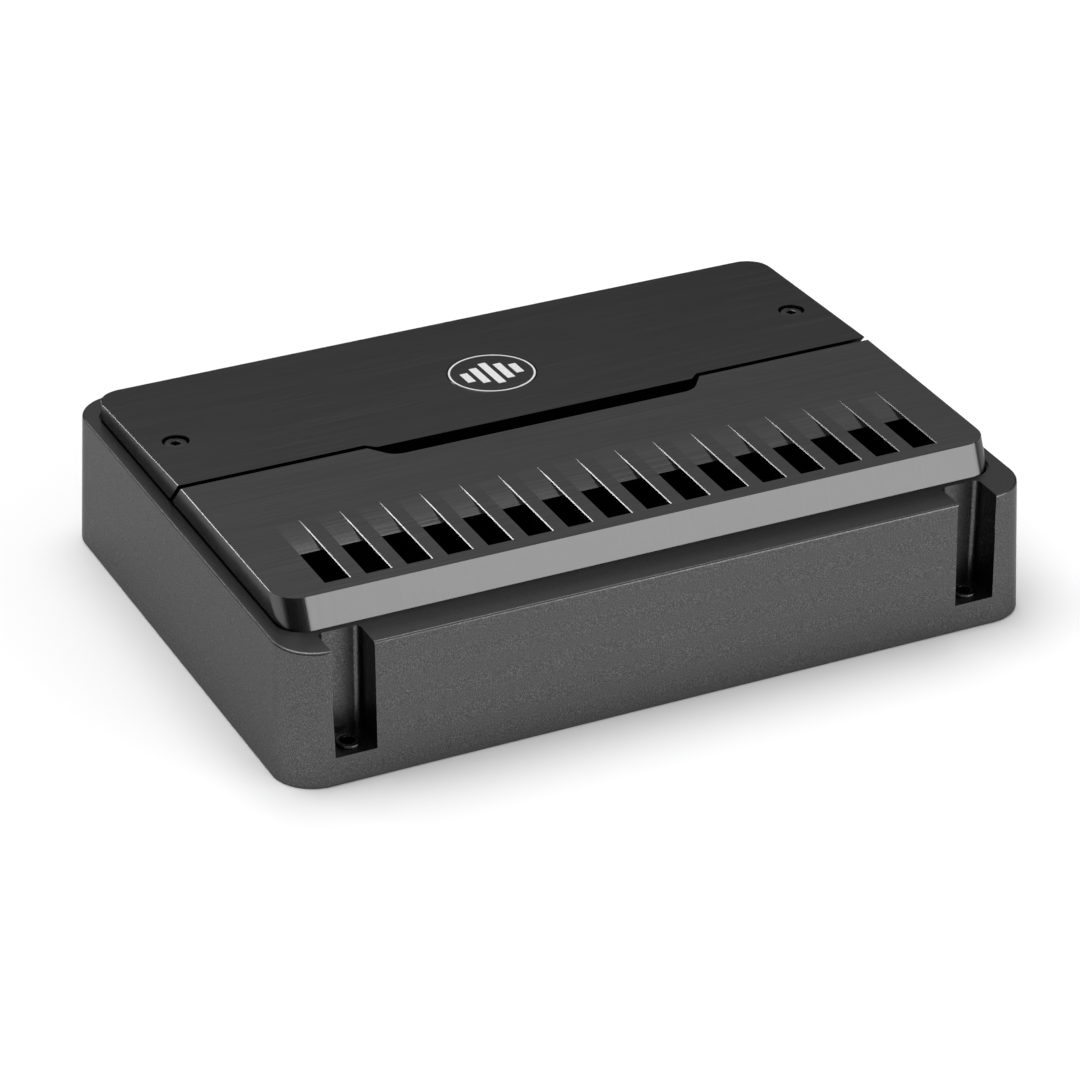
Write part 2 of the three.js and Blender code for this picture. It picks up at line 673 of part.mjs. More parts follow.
// ---------------------------------------------------------------- assembly

add('chassis', chassis(), 'castPaint');
add('vent_cover', ventCover(), 'blackAnodised');
add('access_cover', accessCover(), 'blackAnodised');
add('emblem_disc', emblemDisc(EMBLEM.radius, EMBLEM.thickness, 0), 'blackAnodised');

const screwHeadZ = accessTop(COVER_SCREW.y) - COVER_SCREW.boreDepth + GAP;
for (const [name, side] of [['left', -1], ['right', 1]]) {
  const screw = socketScrew({ ...COVER_SCREW, x: side * COVER_SCREW.x, z: screwHeadZ });
  add(`cover_screw_${name}`, screw, 'blackSteel');
}

add('bottom_plate', bottomPlate(), 'blackSteel');
baseScrews.forEach(([x, y], i) => add(`bottom_screw_${i + 1}`, baseScrew(x, y), 'blackSteel'));
for (const corner of corners) {
  const name = `mounting_eyelet_${corner.end < 0 ? 'front' : 'rear'}_${corner.side < 0 ? 'left' : 'right'}`;
  add(name, eyelet(corner), 'blackSteel');
}

add('connection_panel', connectionPanel(), 'blackPlastic');
for (const [name, block] of [['power', POWER], ['speaker', SPEAKER]]) {
  add(`${name}_terminal_block`, terminalBlock(block), 'blackPlastic');
  block.wireXs.forEach((x, i) => add(`${name}_clamp_screw_${i + 1}`, clampScrew(x, block), 'nickel'));
}
add('rca_housing', rcaHousing(), 'blackPlastic');
RCA.xs.forEach((x, i) => add(`rca_socket_${i + 1}`, rcaShell(x), 'nickel'));
add('remote_level_jack', remoteJack(), 'blackPlastic');
add('status_light', statusLight(), 'lens');

add('control_panel', controlPanel(), 'blackSteel');
add('control_board', controlBoard(), 'board');
KNOB.xs.forEach((x, i) => {
  add(`adjuster_knob_${i + 1}`, knob(x), 'greyPlastic');
  add(`potentiometer_${i + 1}`, potentiometer(x), 'blackPlastic');
});
SWITCH.xs.forEach((x, i) => {
  add(`switch_slider_${i + 1}`, switchSlider(x), 'whitePlastic');
  add(`switch_body_${i + 1}`, switchBody(x), 'zincSteel');
});

add('heatsink', heatsink(), 'blackAnodised');
add('main_board', mainBoard(), 'board');
add('thermal_pad', thermalPad(), 'pad');
MODULE.xs.forEach((x, i) => add(`power_module_${i + 1}`, powerModule(x), 'blackPlastic'));
add('module_clamp_bar', clampBar(), 'zincSteel');
add('power_transformer', toroid(-70, 5, 18, 9), 'copper');
add('input_choke', toroid(78, 30, 11, 6), 'copper');
CAPACITOR.xs.forEach((x, i) => add(`capacitor_${i + 1}`, capacitor(x), 'capSleeve'));

export default amplifier;
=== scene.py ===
import math
import random

import bmesh
import bpy
from mathutils import Matrix, Vector


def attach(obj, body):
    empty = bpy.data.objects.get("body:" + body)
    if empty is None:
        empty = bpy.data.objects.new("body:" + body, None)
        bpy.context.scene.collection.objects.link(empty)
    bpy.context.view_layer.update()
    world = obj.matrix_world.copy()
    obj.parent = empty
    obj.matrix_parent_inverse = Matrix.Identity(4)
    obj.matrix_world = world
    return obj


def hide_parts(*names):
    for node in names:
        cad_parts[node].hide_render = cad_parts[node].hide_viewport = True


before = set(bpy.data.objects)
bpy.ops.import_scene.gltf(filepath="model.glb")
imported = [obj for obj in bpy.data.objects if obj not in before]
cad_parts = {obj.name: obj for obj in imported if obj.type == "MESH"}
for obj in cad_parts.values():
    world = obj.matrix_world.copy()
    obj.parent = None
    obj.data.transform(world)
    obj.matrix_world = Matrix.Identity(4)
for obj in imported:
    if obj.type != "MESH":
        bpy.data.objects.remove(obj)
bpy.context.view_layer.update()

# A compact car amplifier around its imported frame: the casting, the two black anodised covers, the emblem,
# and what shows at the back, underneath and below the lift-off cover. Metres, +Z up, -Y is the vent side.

MM = 0.001

# ---------------------------------------------------------------- driving values

# Points closer than WELD are one point, and faces within FLAT of each other are one face. Edges sharper than
# SHARP can be rounded, and those sharper than CREASE aren't shaded smoothly. TOUCH is as good as touching.
WELD = 0.005 * MM
FLAT = math.radians(1.0)
SHARP = math.radians(22)
CREASE = math.radians(38)
TOUCH = 0.1 * MM

RIM_Z = 44.2 * MM
COVER_TOP_Z = 52.9 * MM
ACCESS_LOW_Z = 49.5 * MM
COVER_SIDE_X = 117 * MM
CHANNEL_FLOOR_Z = 9.4 * MM
CHANNEL_SPAN_X = (95 * MM, 111 * MM)

CAST_HALF = (124.3 * MM, 90 * MM)
CAST_LEAN = (1.8 * MM, 1.4 * MM)
CAST_CORNER = 13.6 * MM

RIM_ROUND = 0.8 * MM
FOOT_ROUND = 0.8 * MM
CHANNEL_ROUND = 0.3 * MM
COVER_CHAMFER = 0.18 * MM

# How light the dome is at a height: 0 is the horizon, and 1 is straight up or down.
SKY = [(0.0, 0.005), (0.3, 0.03), (0.42, 0.4), (0.52, 0.5), (0.75, 0.44), (1.0, 0.36)]

# The place is in metres, the angles are in degrees and the lens in millimetres.
CAMERA = {
    "place": (-0.526434, -1.081598, 0.675738),
    "down": 28.95,
    "right": 25.908,
    "roll": 0.297,
    "lens": 146.516,
}

# The lengths below are in millimetres, and are scaled when a piece is built.
ACCESS_SLOPE = 2.9 / 72.2
SCREW_X, SCREW_Y, SCREW_HEAD_Z = 107, 37, 48.82
EMBLEM = {"y": 37.5, "z": 51.7, "radius": 14.2, "thickness": 0.6}
CHANNEL_X = 102.9
HOLE_YS = {"front": -83.4, "rear": 85.6}
BASE_SCREWS = [(-113, -67.5), (113, -67.5), (-113, 67.5), (113, 67.5)]
PANEL_FACE_Y = 81
RCA_XS, RCA_Z = [-78, -65, -52, -39], 18
JACK_X, LIGHT_Z = -27, 29
CLAMP_Y = 68
TERMINALS = {
    "power": {"xs": [54, 70], "z0": 22.2, "z1": 32.2, "radius": 4, "wire": 9.4, "wire_z": 17},
    "speaker": {"xs": [-7, 3, 13, 23], "z0": 21.3, "z1": 30.2, "radius": 2.4, "wire": 5.6, "wire_z": 18},
}
KNOB_XS, KNOB_Y = [-75, -45, -15, 15], 27
SWITCH_XS, SWITCH_Y = [-65, -30, 5], 44
CONTROL_Z, PRINT_Z = 43.5, 45
BOARD_TOP = 9.9
MODULE_XS = [-46, 0, 46]
CAPACITOR_XS, CAPACITOR_Y = [-22, 0, 22, 44], 8


# ---------------------------------------------------------------- node materials

class Shader:
    """A new node material with short calls for the nodes that the finishes use."""

    def __init__(self, name):
        self.material = bpy.data.materials.new(name)
        self.material.use_nodes = True
        self.tree = self.material.node_tree
        self.bsdf = self.tree.nodes["Principled BSDF"]
        self.coords = self.tree.nodes.new("ShaderNodeTexCoord").outputs["Object"]

    def node(self, kind, **inputs):
        made = self.tree.nodes.new("ShaderNode" + kind)
        for key, value in inputs.items():
            socket = made.inputs[key.replace("_", " ")]
            if isinstance(value, bpy.types.NodeSocket):
                self.tree.links.new(value, socket)
            else:
                socket.default_value = value
        return made

    def stretched(self, scale):
        """The object's own coordinates, scaled along each axis, in 1/m."""
        made = self.node("Mapping", Vector=self.coords)
        made.inputs["Scale"].default_value = scale
        return made.outputs["Vector"]

    def noise(self, scale, detail=3.0, roughness=0.6, vector=None):
        where = self.coords if vector is None else vector
        made = self.node("TexNoise", Vector=where, Scale=scale, Detail=detail, Roughness=roughness)
        return made.outputs["Fac"]

    def ramp(self, value, stops):
        """Colours or greys at places between 0 and 1."""
        made = self.node("ValToRGB", Fac=value)
        ramp = made.color_ramp
        while len(ramp.elements) < len(stops):
            ramp.elements.new(0.5)
        for element, (place, colour) in zip(ramp.elements, stops):
            element.position = place
            rgb = (colour, colour, colour) if isinstance(colour, (int, float)) else colour
            element.color = (*rgb, 1)
        return made.outputs["Color"]

    def span(self, value, low, high, to_low, to_high):
        """The value, taken from the range low..high to the range to_low..to_high."""
        made = self.node("MapRange", Value=value)
        ends = {"From Min": low, "From Max": high, "To Min": to_low, "To Max": to_high}
        for key, number in ends.items():
            made.inputs[key].default_value = number
        return made.outputs["Result"]

    def mix(self, factor, first, second, kind="RGBA"):
        """A mix of two colours, or with kind FLOAT of two values."""
        made = self.tree.nodes.new("ShaderNodeMix")
        made.data_type = kind
        first_input, output = {"FLOAT": (2, 0), "RGBA": (6, 2)}[kind]
        for index, value in ((0, factor), (first_input, first), (first_input + 1, second)):
            if isinstance(value, bpy.types.NodeSocket):
                self.tree.links.new(value, made.inputs[index])
            else:
                made.inputs[index].default_value = value
        return made.outputs[output]

    def bump(self, height, strength, distance):
        made = self.node("Bump", Height=height, Strength=strength, Distance=distance)
        self.tree.links.new(made.outputs["Normal"], self.bsdf.inputs["Normal"])

    def link(self, output, socket):
        self.tree.links.new(output, self.bsdf.inputs[socket])

    def set(self, **values):
        for key, value in values.items():
            socket = self.bsdf.inputs[key.replace("_", " ")]
            if socket.type == "RGBA" and isinstance(value, (int, float)):
                value = (value, value, value, 1)
            socket.default_value = value


def grey(value):
    return (value, value, value, 1)


def cast_paint():
    """Charcoal powder coat with fine metallic flecks over a slightly uneven casting."""
    s = Shader("cast_paint")
    flecks = s.noise(3300, detail=2, roughness=0.7)
    patches = s.noise(60, detail=2)
    speckle = s.ramp(flecks, [(0.34, 0.06), (0.52, 0.1), (0.66, 0.155), (0.78, 0.3)])
    s.link(s.mix(s.span(patches, 0.3, 0.7, 0.0, 0.14), speckle, grey(0.09)), "Base Color")
    s.link(s.span(flecks, 0.3, 0.75, 0.36, 0.24), "Roughness")
    s.set(Metallic=1.0, Specular_Tint=0.62)
    s.bump(flecks, 0.2, 0.05 * MM)
    return s.material


def anodised(name, tone, roughness):
    """Black anodised aluminium, brushed along X on its flats and up and down on its front, where painted
    shade colours it darker than its flats.
    """
    s = Shader(name)
    along = s.noise(1.0, detail=5, roughness=0.75, vector=s.stretched((22, 2600, 2600)))
    upright = s.noise(1.0, detail=5, roughness=0.75, vector=s.stretched((2600, 30, 30)))
    normal = s.tree.nodes.new("ShaderNodeNewGeometry").outputs["Normal"]
    facing = s.node("SeparateXYZ", Vector=normal).outputs["Z"]
    flat_top = s.span(facing, 0.7, 0.9, 0.0, 1.0)
    grain = s.mix(flat_top, upright, along, "FLOAT")
    # Painted shade: on the upright front the grain only reaches the darker half of the colour ramp.
    grain_and_front_painted_shade = s.mix(flat_top, s.span(upright, 0, 1, 0, 0.5), along, "FLOAT")
    wide = s.noise(1.0, detail=2, vector=s.stretched((6, 90, 90)))
    colour = s.ramp(grain_and_front_painted_shade, [(0.25, tone * 0.72), (0.5, tone), (0.75, tone * 1.35)])
    s.link(s.mix(s.span(wide, 0.3, 0.7, 0.0, 0.25), colour, grey(tone * 0.8)), "Base Color")
    s.link(s.span(grain, 0.25, 0.75, roughness - 0.07, roughness + 0.09), "Roughness")
    s.set(Metallic=1.0, Specular_Tint=0.65)
    s.bump(grain, 0.16, 0.02 * MM)
    return s.material


def chamfer_painted_highlight():
    """A painted highlight on the fine chamfers along the covers' left edges, which face the light: a lighter
    and smoother metal than the anodising.
    """
    s = Shader("chamfer_painted_highlight")
    lines = s.noise(900, detail=2)
    s.link(s.ramp(lines, [(0.3, 0.17), (0.7, 0.22)]), "Base Color")
    s.link(s.span(lines, 0.3, 0.7, 0.2, 0.28), "Roughness")
    s.set(Metallic=1.0)
    return s.material


def silver_inlay():
    """The pale, satin metal of the emblem's ring and mark."""
    s = Shader("silver_inlay")
    grain = s.noise(1200, detail=2)
    s.link(s.ramp(grain, [(0.3, 0.74), (0.7, 0.84)]), "Base Color")
    s.link(s.span(grain, 0.3, 0.7, 0.34, 0.44), "Roughness")
    s.set(Metallic=0.25)
    return s.material


def plain_metal(name, tone, roughness, tint=(1, 1, 1)):
    """A plated or blackened steel with faint handling marks."""
    s = Shader(name)
    marks = s.noise(900, detail=4)
    dark = tuple(tone * 0.86 * c for c in tint)
    light = tuple(tone * 1.1 * c for c in tint)
    s.link(s.ramp(marks, [(0.3, dark), (0.7, light)]), "Base Color")
    s.link(s.span(marks, 0.3, 0.7, roughness - 0.05, roughness + 0.07), "Roughness")
    s.set(Metallic=1.0)
    s.bump(marks, 0.02, 0.02 * MM)
    return s.material


def moulded(name, colour, roughness=0.5):
    """A moulded plastic with a fine spark-eroded texture."""
    s = Shader(name)
    grain = s.noise(1500, detail=3)
    dark = tuple(c * 0.88 for c in colour)
    light = tuple(min(c * 1.1, 1.0) for c in colour)
    s.link(s.ramp(grain, [(0.3, dark), (0.7, light)]), "Base Color")
    s.link(s.span(grain, 0.3, 0.7, roughness - 0.06, roughness + 0.08), "Roughness")
    s.set(Specular_IOR_Level=0.45)
    s.bump(grain, 0.15, 0.03 * MM)
    return s.material


def circuit_board():
    """Solder mask over copper tracks that run along and across the board."""
    s = Shader("circuit_board")
    cells = s.node("TexVoronoi", Vector=s.stretched((260, 140, 1)), Scale=1.0)
    tracks = s.node("TexWave", Vector=s.coords, Scale=140.0, Distortion=0.0)
    lanes = s.ramp(tracks.outputs["Fac"], [(0.45, 0.0), (0.5, 1.0)])
    island = s.ramp(cells.outputs["Distance"], [(0.3, 0.0), (0.34, 1.0)])
    under = s.mix(lanes, (0.012, 0.055, 0.03, 1), (0.018, 0.085, 0.042, 1))
    s.link(s.mix(island, under, (0.01, 0.045, 0.026, 1)), "Base Color")
    s.set(Roughness=0.35, Specular_IOR_Level=0.5)
    s.bump(lanes, 0.2, 0.03 * MM)
    return s.material


def copper():
    """Enamelled copper wire."""
    s = Shader("copper_winding")
    tone = s.noise(300, detail=2)
    s.link(s.ramp(tone, [(0.3, (0.42, 0.12, 0.035)), (0.7, (0.62, 0.2, 0.06))]), "Base Color")
    s.link(s.span(tone, 0.3, 0.7, 0.24, 0.36), "Roughness")
    s.set(Metallic=0.9)
    return s.material


def light_lens():
    """The clear green lens of the status light."""
    s = Shader("light_lens")
    depth = s.noise(400, detail=1)
    s.link(s.ramp(depth, [(0.3, (0.12, 0.42, 0.16)), (0.7, (0.2, 0.55, 0.24))]), "Base Color")
    s.set(Roughness=0.12, Coat_Weight=0.6)
    return s.material


def floor_paint():
    """The matt white of the studio floor."""
    s = Shader("floor_paint")
    tone = s.noise(3, detail=2)
    s.link(s.ramp(tone, [(0.3, 0.93), (0.7, 0.94)]), "Base Color")
    s.set(Roughness=0.9, Specular_IOR_Level=0.1)
    return s.material


PAINT = cast_paint()
ANODISED = anodised("black_anodised", 0.128, 0.2)
# Black anodising on the heatsink, its tone kept near black as painted shade, so the inside under the vent
# slots reads dark.
INNER_ANODISED_AND_SHADE = anodised("inner_anodised_and_painted_shade", 0.02, 0.5)
# A painted highlight for the cover chamfers that face the light.
CHAMFER_PAINTED_HIGHLIGHT = chamfer_painted_highlight()
BLACK_STEEL = plain_metal("black_steel", 0.07, 0.25)
ZINC = plain_metal("zinc_steel", 0.5, 0.34)
SILVER = silver_inlay()
NICKEL = plain_metal("nickel", 0.62, 0.2, tint=(1, 0.97, 0.9))
BLACK_PLASTIC = moulded("black_plastic", (0.018, 0.018, 0.019))
GREY_PLASTIC = moulded("grey_plastic", (0.2, 0.2, 0.205))
WHITE_PLASTIC = moulded("white_plastic", (0.62, 0.61, 0.58), roughness=0.4)
BOARD = circuit_board()
COPPER = copper()
SLEEVE = moulded("capacitor_sleeve", (0.014, 0.018, 0.03), roughness=0.3)
PAD = moulded("thermal_pad", (0.3, 0.31, 0.31), roughness=0.85)
LENS = light_lens()
# The covers' anodising, and the painted highlight on their left chamfers.
COVER_FINISH_AND_PAINTED_HIGHLIGHT = [ANODISED, CHAMFER_PAINTED_HIGHLIGHT]


# ---------------------------------------------------------------- making pieces

def flats_of(node):
    """The CAD node as a bmesh whose coplanar triangles are joined into whole faces."""
    bm = bmesh.new()
    bm.from_mesh(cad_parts[node].data)
    bmesh.ops.remove_doubles(bm, verts=bm.verts, dist=WELD)
    bmesh.ops.dissolve_limit(
        bm, angle_limit=FLAT, use_dissolve_boundaries=False, verts=bm.verts, edges=bm.edges,
    )
    return bm


def middle(edge):
    return (edge.verts[0].co + edge.verts[1].co) / 2


def round_edges(bm, width, segments, chosen):
    """Bevels the sharp edges that chosen(edge) picks."""
    bm.normal_update()
    edges = [
        edge for edge in bm.edges
        if len(edge.link_faces) == 2 and edge.calc_face_angle(0) > SHARP and chosen(edge)
    ]
    bmesh.ops.bevel(
        bm, geom=edges, offset=width, offset_type="OFFSET", segments=segments, profile=0.5,
        affect="EDGES", clamp_overlap=False, material=-1,
    )


def hexagon(angle):
    """How far the side of a hexagon lies at an angle, where its corners lie at 1."""
    return math.cos(math.pi / 6) / math.cos(angle % (math.pi / 3) - math.pi / 6)


def fluted(angle):
    """A grip of 24 shallow flutes around a rim of radius 1."""
    return 1 - 0.02 * (1 + math.cos(24 * angle))


def slit(angle):
    """The edge of a 1.2 by 6.8 mm screwdriver slot."""
    return min(0.6 / max(abs(math.cos(angle)), 0.01), 3.4 / max(abs(math.sin(angle)), 0.01))


def turn(bm, profile, centre, sides=48, along="z", loop=False):
    """A piece turned from points (radius, height, and a shape where it isn't round), in mm."""
    rings = []
    for radius, height, *shape in profile:
        ring = []
        for index in range(sides if radius else 1):
            angle = math.tau * index / sides
            reach = radius * shape[0](angle) if shape else radius
            across, beside = reach * math.cos(angle), reach * math.sin(angle)
            offset = (across, beside, height) if along == "z" else (across, height, beside)
            ring.append(bm.verts.new((Vector(centre) + Vector(offset)) * MM))
        rings.append(ring)
    following = rings[1:] + rings[:1] if loop else rings[1:]
    for lower, upper in zip(rings, following):
        for index in range(sides):
            corners = [ring[i % len(ring)] for ring, i in (
                (lower, index), (lower, (index + 1) % sides), (upper, (index + 1) % sides), (upper, index),
            )]
            bm.faces.new(dict.fromkeys(corners))


def ray(angle):
    """The direction at an angle, and the direction to its left."""
    return Vector((math.cos(angle), math.sin(angle))), Vector((-math.sin(angle), math.cos(angle)))


def plate(bm, outline, z0, z1):
    """A flat outline of points (x, y) raised from z0 to z1, in mm."""
    low = [bm.verts.new(Vector((x, y, z0)) * MM) for x, y in outline]
    high = [bm.verts.new(Vector((x, y, z1)) * MM) for x, y in outline]
    bm.faces.new(low)
    bm.faces.new(high)
    for index, vert in enumerate(low):
        bm.faces.new((low[index - 1], vert, high[index], high[index - 1]))


def block(bm, x0, x1, y0, y1, z0, z1):
    plate(bm, [(x0, y0), (x1, y0), (x1, y1), (x0, y1)], z0, z1)


def thread(radius, z0, z1, pitch=0.7):
    """Profile points of a screw thread, from z0 up to z1."""
    count = int((z1 - z0) / pitch)
    points = []
    for index in range(count):
        points += [(radius, z0 + index * pitch), (radius * 0.88, z0 + (index + 0.5) * pitch)]
    return points + [(radius, z0 + count * pitch)]


def hex_socket(radius, top, depth):
    """Profile points of a six-sided socket that opens at the top."""
    return [
        (radius + 0.25, top, hexagon), (radius, top - 0.2, hexagon), (radius, top - depth, hexagon),
        (0, top - depth - 0.2),
    ]


def finish_piece(bm, name, body, materials, replaces=()):
    """Makes an object of the bmesh, shades it, and puts it on its CAD body."""
    bmesh.ops.recalc_face_normals(bm, faces=bm.faces)
    bm.normal_update()
    for face in bm.faces:
        face.smooth = True
    for edge in bm.edges:
        edge.smooth = len(edge.link_faces) == 2 and edge.calc_face_angle(0) < CREASE
    mesh = bpy.data.meshes.new(name)
    bm.to_mesh(mesh)
    bm.free()
    for material in materials:
        mesh.materials.append(material)
    piece = bpy.data.objects.new(name, mesh)
    bpy.context.scene.collection.objects.link(piece)
    weighted = piece.modifiers.new("weighted_normals", "WEIGHTED_NORMAL")
    weighted.keep_sharp = True
    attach(piece, body)
    if replaces:
        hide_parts(*replaces)


def keep_node(node, material, round_width):
    """A CAD node that stays: its material, and its edges rounded by modifiers."""
    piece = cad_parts[node]
    piece.data.materials.clear()
    piece.data.materials.append(material)
    for polygon in piece.data.polygons:
        polygon.use_smooth = True
    weld = piece.modifiers.new("weld", "WELD")
    weld.merge_threshold = WELD
    flat = piece.modifiers.new("flats", "DECIMATE")
    flat.decimate_type = "DISSOLVE"
    flat.angle_limit = FLAT
    if round_width:
        bevel = piece.modifiers.new("round", "BEVEL")
        bevel.width = round_width
        bevel.segments = 2
        bevel.limit_method = "ANGLE"
        bevel.angle_limit = SHARP
    piece.modifiers.new("weighted_normals", "WEIGHTED_NORMAL")


# ---------------------------------------------------------------- casting and covers

def off_casting_side(point):
    """How far a point lies from the casting's outer side at its height, outside positive."""
    lean = point.z / RIM_Z
    over = [abs(point[i]) - CAST_HALF[i] + CAST_LEAN[i] * lean + CAST_CORNER for i in (0, 1)]
    return math.hypot(max(over[0], 0), max(over[1], 0)) + min(max(over), 0) - CAST_CORNER


def on_casting_side(edge):
    return all(abs(off_casting_side(vert.co)) < 3 * TOUCH for vert in edge.verts)


def on_channel_mouth(edge):
    """The upright edges of the mounting channels, in the casting's front and rear faces."""
    point = middle(edge)
    inner, outer = CHANNEL_SPAN_X
    beside = inner < abs(point.x) < outer and point.z > CHANNEL_FLOOR_Z - TOUCH
    upright = abs(edge.verts[0].co.z - edge.verts[1].co.z) > 20 * MM
    return beside and upright and on_casting_side(edge)


def on_rim(edge):
    return on_casting_side(edge) and min(vert.co.z for vert in edge.verts) > RIM_Z - TOUCH


def on_foot(edge):
    return on_casting_side(edge) and max(vert.co.z for vert in edge.verts) < TOUCH


def chassis():
    bm = flats_of("chassis")
    round_edges(bm, RIM_ROUND, 4, on_rim)
    round_edges(bm, FOOT_ROUND, 3, on_foot)
    round_edges(bm, CHANNEL_ROUND, 2, on_channel_mouth)
    finish_piece(bm, "cast_chassis", "chassis", [PAINT], ["chassis"])


def paint_highlight_on_left_chamfers(bm):
    """Gives the chamfers that face -X, towards the light, the second material: a painted highlight."""
    bm.normal_update()
    for face in bm.faces:
        if face.normal.x < -0.5 and 0.5 < face.normal.z < 0.9:
            face.material_index = 1


def vent_cover():
    bm = flats_of("vent_cover")

    def on_side(edge):
        point = middle(edge)
        return abs(point.x) > COVER_SIDE_X and point.z > COVER_TOP_Z - TOUCH / 2

    round_edges(bm, COVER_CHAMFER, 1, on_side)
    paint_highlight_on_left_chamfers(bm)
    finish_piece(bm, "slotted_vent_cover", "chassis", COVER_FINISH_AND_PAINTED_HIGHLIGHT, ["vent_cover"])


def access_cover():
    bm = flats_of("access_cover")

    def on_side(edge):
        point = middle(edge)
        beside_top = max(face.normal.z for face in edge.link_faces) > 0.99 and point.z > ACCESS_LOW_Z
        return beside_top and abs(point.x) > COVER_SIDE_X

    round_edges(bm, COVER_CHAMFER, 1, on_side)
    paint_highlight_on_left_chamfers(bm)
    finish_piece(bm, "lift_off_cover", "access_cover", COVER_FINISH_AND_PAINTED_HIGHLIGHT, ["access_cover"])


# ---------------------------------------------------------------- emblem and screws

def emblem():
    """A dark disc in the sloping cover, with a bright ring and five bars of rising and falling length."""
    radius, thickness = EMBLEM["radius"], EMBLEM["thickness"]
    slope = Matrix.Rotation(-math.atan(ACCESS_SLOPE), 4, "X")
    place = Matrix.Translation((0, EMBLEM["y"] * MM, EMBLEM["z"] * MM)) @ slope

    disc = bmesh.new()
    rim = [(radius, -thickness), (radius, -0.1), (radius - 0.1, 0)]
    turn(disc, [(0, -thickness), *rim, (0, 0)], (0, 0, 0), sides=96)
    disc.transform(place)
    finish_piece(disc, "emblem_plate", "access_cover", [ANODISED], ["emblem_disc"])

    mark = bmesh.new()
    inner, outer, lift = 13.2, 13.8, 0.06
    ring = [(inner, -0.1), (outer, -0.1), (outer, lift), (inner, lift)]
    turn(mark, ring, (0, 0, 0), sides=96, loop=True)
    pitch, width = 4.2, 2.6
    for step in range(-2, 3):
        half = 8 - 2.3 * abs(step)
        x = step * pitch
        block(mark, x - width / 2, x + width / 2, -half, half, -0.1, lift)
    mark.transform(place)
    finish_piece(mark, "emblem_ring_and_bars", "access_cover", [SILVER])


def cover_screw(name, side):
    """A socket screw with its head in a counterbore of the access cover."""
    head, height, shank, length = 3.6, 2.2, 1.8, 17
    bm = bmesh.new()
    turn(bm, [
        (0, -length), (shank - 0.4, -length), *thread(shank, -length + 0.4, -6), (shank, -5.5), (shank, 0),
        (head - 0.1, 0), (head, 0.1), (head, height - 0.45), (head - 0.12, height - 0.16),
        (head - 0.45, height), *hex_socket(1.55, height, 1.4),
    ], (side * SCREW_X, SCREW_Y, SCREW_HEAD_Z))
    finish_piece(bm, f"socket_{name}", name, [BLACK_STEEL], [name])


def base_screw(name, x, y):
    """A countersunk screw, head down in the bottom plate."""
    shank, head, socket = 1.6, 3.3, 1.15
    bm = bmesh.new()
    turn(bm, [
        (0, 1.3), (socket, 1.2, hexagon), (socket, 0.5, hexagon), (socket + 0.2, 0.3, hexagon),
        (head - 0.15, 0.3), (head, 0.42), (shank, 2),
        *thread(shank, 3, 11.6), (shank - 0.4, 12.3), (0, 12.3),
    ], (x, y, 0))
    finish_piece(bm, f"countersunk_{name}", "chassis", [BLACK_STEEL], [name])


def eyelet(name, x, y):
    """A flanged ring pressed into the floor of a mounting channel."""
    bore, body, flange = 2.2, 2.9, 3.8
    bm = bmesh.new()
    turn(bm, [
        (bore, 0.5), (body, 0.5), (body, 9.5), (flange, 9.5), (flange, 10.05), (flange - 0.12, 10.28),
        (flange - 0.4, 10.4), (bore + 0.4, 10.4), (bore + 0.1, 10.28), (bore, 10),
    ], (x, y, 0), loop=True)
    finish_piece(bm, f"ring_{name}", "chassis", [BLACK_STEEL], [name])


# ---------------------------------------------------------------- connections

def clamp_screw(name, kind, x):
    """A headless screw with a six-sided socket, standing over a wire hole."""
    radius, z0, z1 = (TERMINALS[kind][key] for key in ("radius", "z0", "z1"))
    bm = bmesh.new()
    turn(bm, [
        (0, z0), (radius - 0.5, z0), *thread(radius, z0 + 0.4, z1 - 0.4, pitch=0.9), (radius - 0.4, z1),
        *hex_socket(radius * 0.5, z1, 2.5),
    ], (x, CLAMP_Y, 0))
    finish_piece(bm, f"hex_{name}", name, [NICKEL], [name])


def wire_plates(kind):
    """A nickel-plated strip under each wire, in the floor of its hole."""
    sizes = TERMINALS[kind]
    half = sizes["wire"] / 2 - 0.2
    floor = sizes["wire_z"] - sizes["wire"] / 2
    bm = bmesh.new()
    for x in sizes["xs"]:
        block(bm, x - half, x + half, 63.5, 84, floor - 0.1, floor + 0.4)
    round_edges(bm, 0.12 * MM, 1, lambda edge: True)
    finish_piece(bm, f"{kind}_wire_plates", "chassis", [NICKEL])


def phono_socket(name, x, finish):
    """A plated shell, its insulator, and the sprung tube in the middle."""
    bore, inner_end = 3.5, -4
    centre = (x, PANEL_FACE_Y, RCA_Z)
    shell = bmesh.new()
    turn(shell, [
        (0, -9), (3.4, -9), (3.4, -1.6), (4.1, -1.6), (4.1, 0.1), (5.45, 0.1), (5.6, 0.25), (5.6, 0.95),
        (5.45, 1.1), (4.15, 1.1), (4.15, 6.55), (4.05, 6.75), (3.9, 6.8), (3.6, 6.8), (bore, 6.7),
        (bore, inner_end), (0, inner_end),
    ], centre, along="y")
    finish_piece(shell, f"shell_{name}", "chassis", [NICKEL], [name])
    insulator = bmesh.new()
    sleeve = [(1.7, -3.9), (3.45, -3.9), (3.45, 6.2), (1.95, 6.2), (1.7, 6)]
    turn(insulator, sleeve, centre, along="y", loop=True)
    material, slot = finish
    finish_piece(insulator, f"insulator_{name}", "chassis", [material])
    tube = bmesh.new()
    wall = [(1.25, -3.9), (1.6, -3.9), (1.6, 5.4), (1.45, 5.6), (1.25, 5.5)]
    turn(tube, wall, centre, along="y", loop=True)
    finish_piece(tube, f"contact_{name}", "chassis", [NICKEL])


